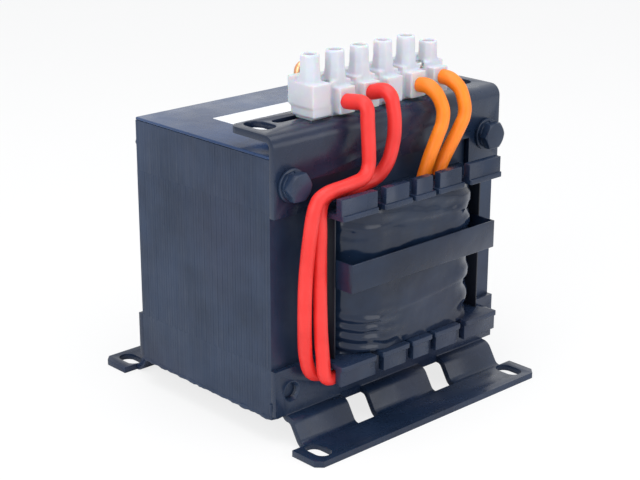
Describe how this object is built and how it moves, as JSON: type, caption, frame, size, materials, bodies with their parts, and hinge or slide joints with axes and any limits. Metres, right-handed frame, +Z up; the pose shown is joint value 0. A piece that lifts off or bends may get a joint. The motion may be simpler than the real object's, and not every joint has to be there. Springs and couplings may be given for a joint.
{
  "type": "laminated chassis transformer",
  "caption": "Interleaved E-I core with a combed bobbin and taped coil, bent mounting feet, and an upper bracket with a terminal strip wired by red and orange leads.",
  "frame": {"origin": "on the mounting surface, under the middle of the core", "axes": "+X along the width, -Y towards the side that the leads come out on, +Z up"},
  "size_m": [0.122, 0.132, 0.1427],
  "materials": {
    "core_varnish": "dark blue-grey dip varnish over silicon steel",
    "bobbin_varnish": "varnished glass-filled nylon",
    "bracket_varnish": "varnished sheet steel",
    "fastener_varnish": "varnished zinc-plated steel",
    "tape_varnish": "varnished polyester tape",
    "liner_varnish": "varnished pressboard",
    "cover_varnish": "varnished pressboard",
    "label_white": "bare white label",
    "enamelled_copper": "enamelled copper wire",
    "barrier_film": "polyester film",
    "sleeve_paper": "rolled insulating tube",
    "milky_nylon": "translucent milky nylon",
    "brass_insert": "turned brass",
    "plated_screw": "zinc plated",
    "lead_red": "soft red sleeving",
    "lead_orange": "soft orange sleeving",
    "bare_copper": "bare copper"
  },
  "bodies": {
    "root": {"e_laminations": "core_varnish", "i_laminations": "core_varnish", "bobbin_tube": "bobbin_varnish", "upper_comb": "bobbin_varnish", "lower_comb": "bobbin_varnish", "primary_winding": "enamelled_copper", "winding_barrier": "barrier_film", "secondary_winding": "enamelled_copper", "coil_wrap": "tape_varnish", "coil_strap": "tape_varnish", "leg_liners": "liner_varnish", "cover_sheet": "cover_varnish", "rating_label": "label_white", "terminal_bracket": "bracket_varnish", "front_foot": "bracket_varnish", "rear_foot": "bracket_varnish", "upper_bolts": "fastener_varnish", "lower_bolts": "fastener_varnish", "bolt_sleeves": "sleeve_paper", "threaded_bushes": "fastener_varnish", "plain_washers": "fastener_varnish", "spring_washers": "fastener_varnish", "rear_nuts": "fastener_varnish", "terminal_housing": "milky_nylon", "terminal_inserts": "brass_insert", "terminal_screws": "plated_screw", "strip_screws": "plated_screw", "red_lead_left": "lead_red", "red_lead_right": "lead_red", "orange_lead_left": "lead_orange", "orange_lead_right": "lead_orange", "copper_link": "bare_copper"}
  },
  "joints": []
}
